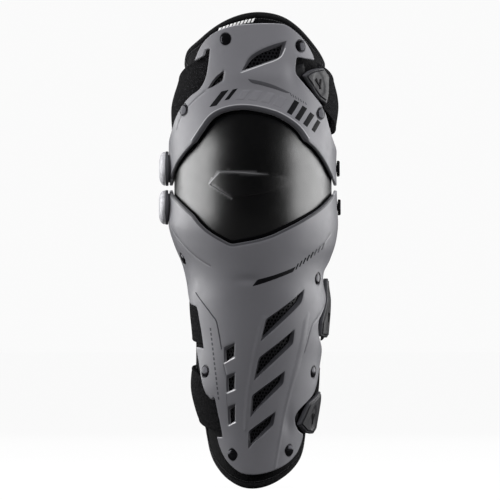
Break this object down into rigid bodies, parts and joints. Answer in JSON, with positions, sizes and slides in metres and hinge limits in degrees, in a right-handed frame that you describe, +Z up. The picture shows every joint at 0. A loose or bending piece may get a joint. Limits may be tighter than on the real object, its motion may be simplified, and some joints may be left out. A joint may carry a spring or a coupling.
{
  "type": "motocross knee and shin guard",
  "caption": "Hard-shell knee and shin guard with a floating knee cup, two hinge axes, foam lining and buckled elastic straps.",
  "frame": {"origin": "middle of the guard seen from above, at the level of the lining's lowest point", "axes": "+Z up the leg towards the thigh, -Y out of the front of the knee, +X towards the buckle side"},
  "size_m": [0.1832, 0.1556, 0.4785],
  "materials": {
    "grey_shell": "satin moulded",
    "black_cup": "satin gloss moulded",
    "charcoal_clip": "fine textured",
    "black_fabric": "brushed knit over foam",
    "vent_mesh": "open spacer mesh",
    "elastic_webbing": "ribbed elastic weave",
    "dark_steel": "black oxide"
  },
  "bodies": {
    "knee": {"knee_cup": "black_cup", "knee_foam": "black_fabric", "hinge_bolt_upper_left": "dark_steel", "hinge_bush_upper_left": "dark_steel", "hinge_nut_upper_left": "dark_steel", "hinge_bolt_upper_right": "dark_steel", "hinge_bush_upper_right": "dark_steel", "hinge_nut_upper_right": "dark_steel", "hinge_bolt_lower_left": "dark_steel", "hinge_bush_lower_left": "dark_steel", "hinge_nut_lower_left": "dark_steel", "hinge_bolt_lower_right": "dark_steel", "hinge_bush_lower_right": "dark_steel", "hinge_nut_lower_right": "dark_steel", "hinge_ring_upper_left": "charcoal_clip", "hinge_ring_lower_left": "charcoal_clip", "hinge_cap_upper_left": "grey_shell", "hinge_cap_lower_left": "grey_shell"},
    "thigh": {"thigh_shell": "grey_shell", "thigh_pad": "black_fabric", "thigh_vent_mesh": "vent_mesh", "thigh_strap": "elastic_webbing", "thigh_strap_tab": "charcoal_clip", "thigh_catch": "charcoal_clip", "thigh_rivet_upper_left": "dark_steel", "thigh_rivet_upper_right": "dark_steel", "thigh_rivet_lower_left": "dark_steel", "thigh_rivet_lower_right": "dark_steel"},
    "shin": {"shin_shell": "grey_shell", "shin_pad": "black_fabric", "shin_vent_mesh": "vent_mesh", "upper_calf_strap": "elastic_webbing", "upper_calf_strap_tab": "charcoal_clip", "lower_calf_strap": "elastic_webbing", "lower_calf_strap_tab": "charcoal_clip", "upper_calf_catch": "charcoal_clip", "lower_calf_catch": "charcoal_clip", "shin_rivet_upper_left": "dark_steel", "shin_rivet_upper_right": "dark_steel", "shin_rivet_lower_left": "dark_steel", "shin_rivet_lower_right": "dark_steel", "shin_rivet_middle_left": "dark_steel", "shin_rivet_middle_right": "dark_steel"},
    "thigh_buckle": {"thigh_buckle": "charcoal_clip"},
    "upper_calf_buckle": {"upper_calf_buckle": "charcoal_clip"},
    "lower_calf_buckle": {"lower_calf_buckle": "charcoal_clip"}
  },
  "joints": [
    {"name": "thigh_flex", "type": "hinge", "parent": "knee", "child": "thigh", "pos_m": [0, 0.01024, 0.3215], "axis": [-1, 0, 0], "range_deg": [0, 50]},
    {"name": "shin_flex", "type": "hinge", "parent": "knee", "child": "shin", "pos_m": [0, 0.01024, 0.2825], "axis": [1, 0, 0], "range_deg": [0, 50]},
    {"name": "thigh_buckle_release", "type": "hinge", "parent": "thigh", "child": "thigh_buckle", "pos_m": [0.06269, -0.04227, 0.40375], "axis": [0.5386, 0.2916, -0.7905], "range_deg": [0, 35]},
    {"name": "upper_calf_buckle_release", "type": "hinge", "parent": "shin", "child": "upper_calf_buckle", "pos_m": [0.07613, -0.01526, 0.1795], "axis": [-0.1852, -0.4534, -0.8719], "range_deg": [0, 35]},
    {"name": "lower_calf_buckle_release", "type": "hinge", "parent": "shin", "child": "lower_calf_buckle", "pos_m": [0.05603, -0.02831, 0.075], "axis": [-0.4104, -0.3562, -0.8395], "range_deg": [0, 35]}
  ]
}
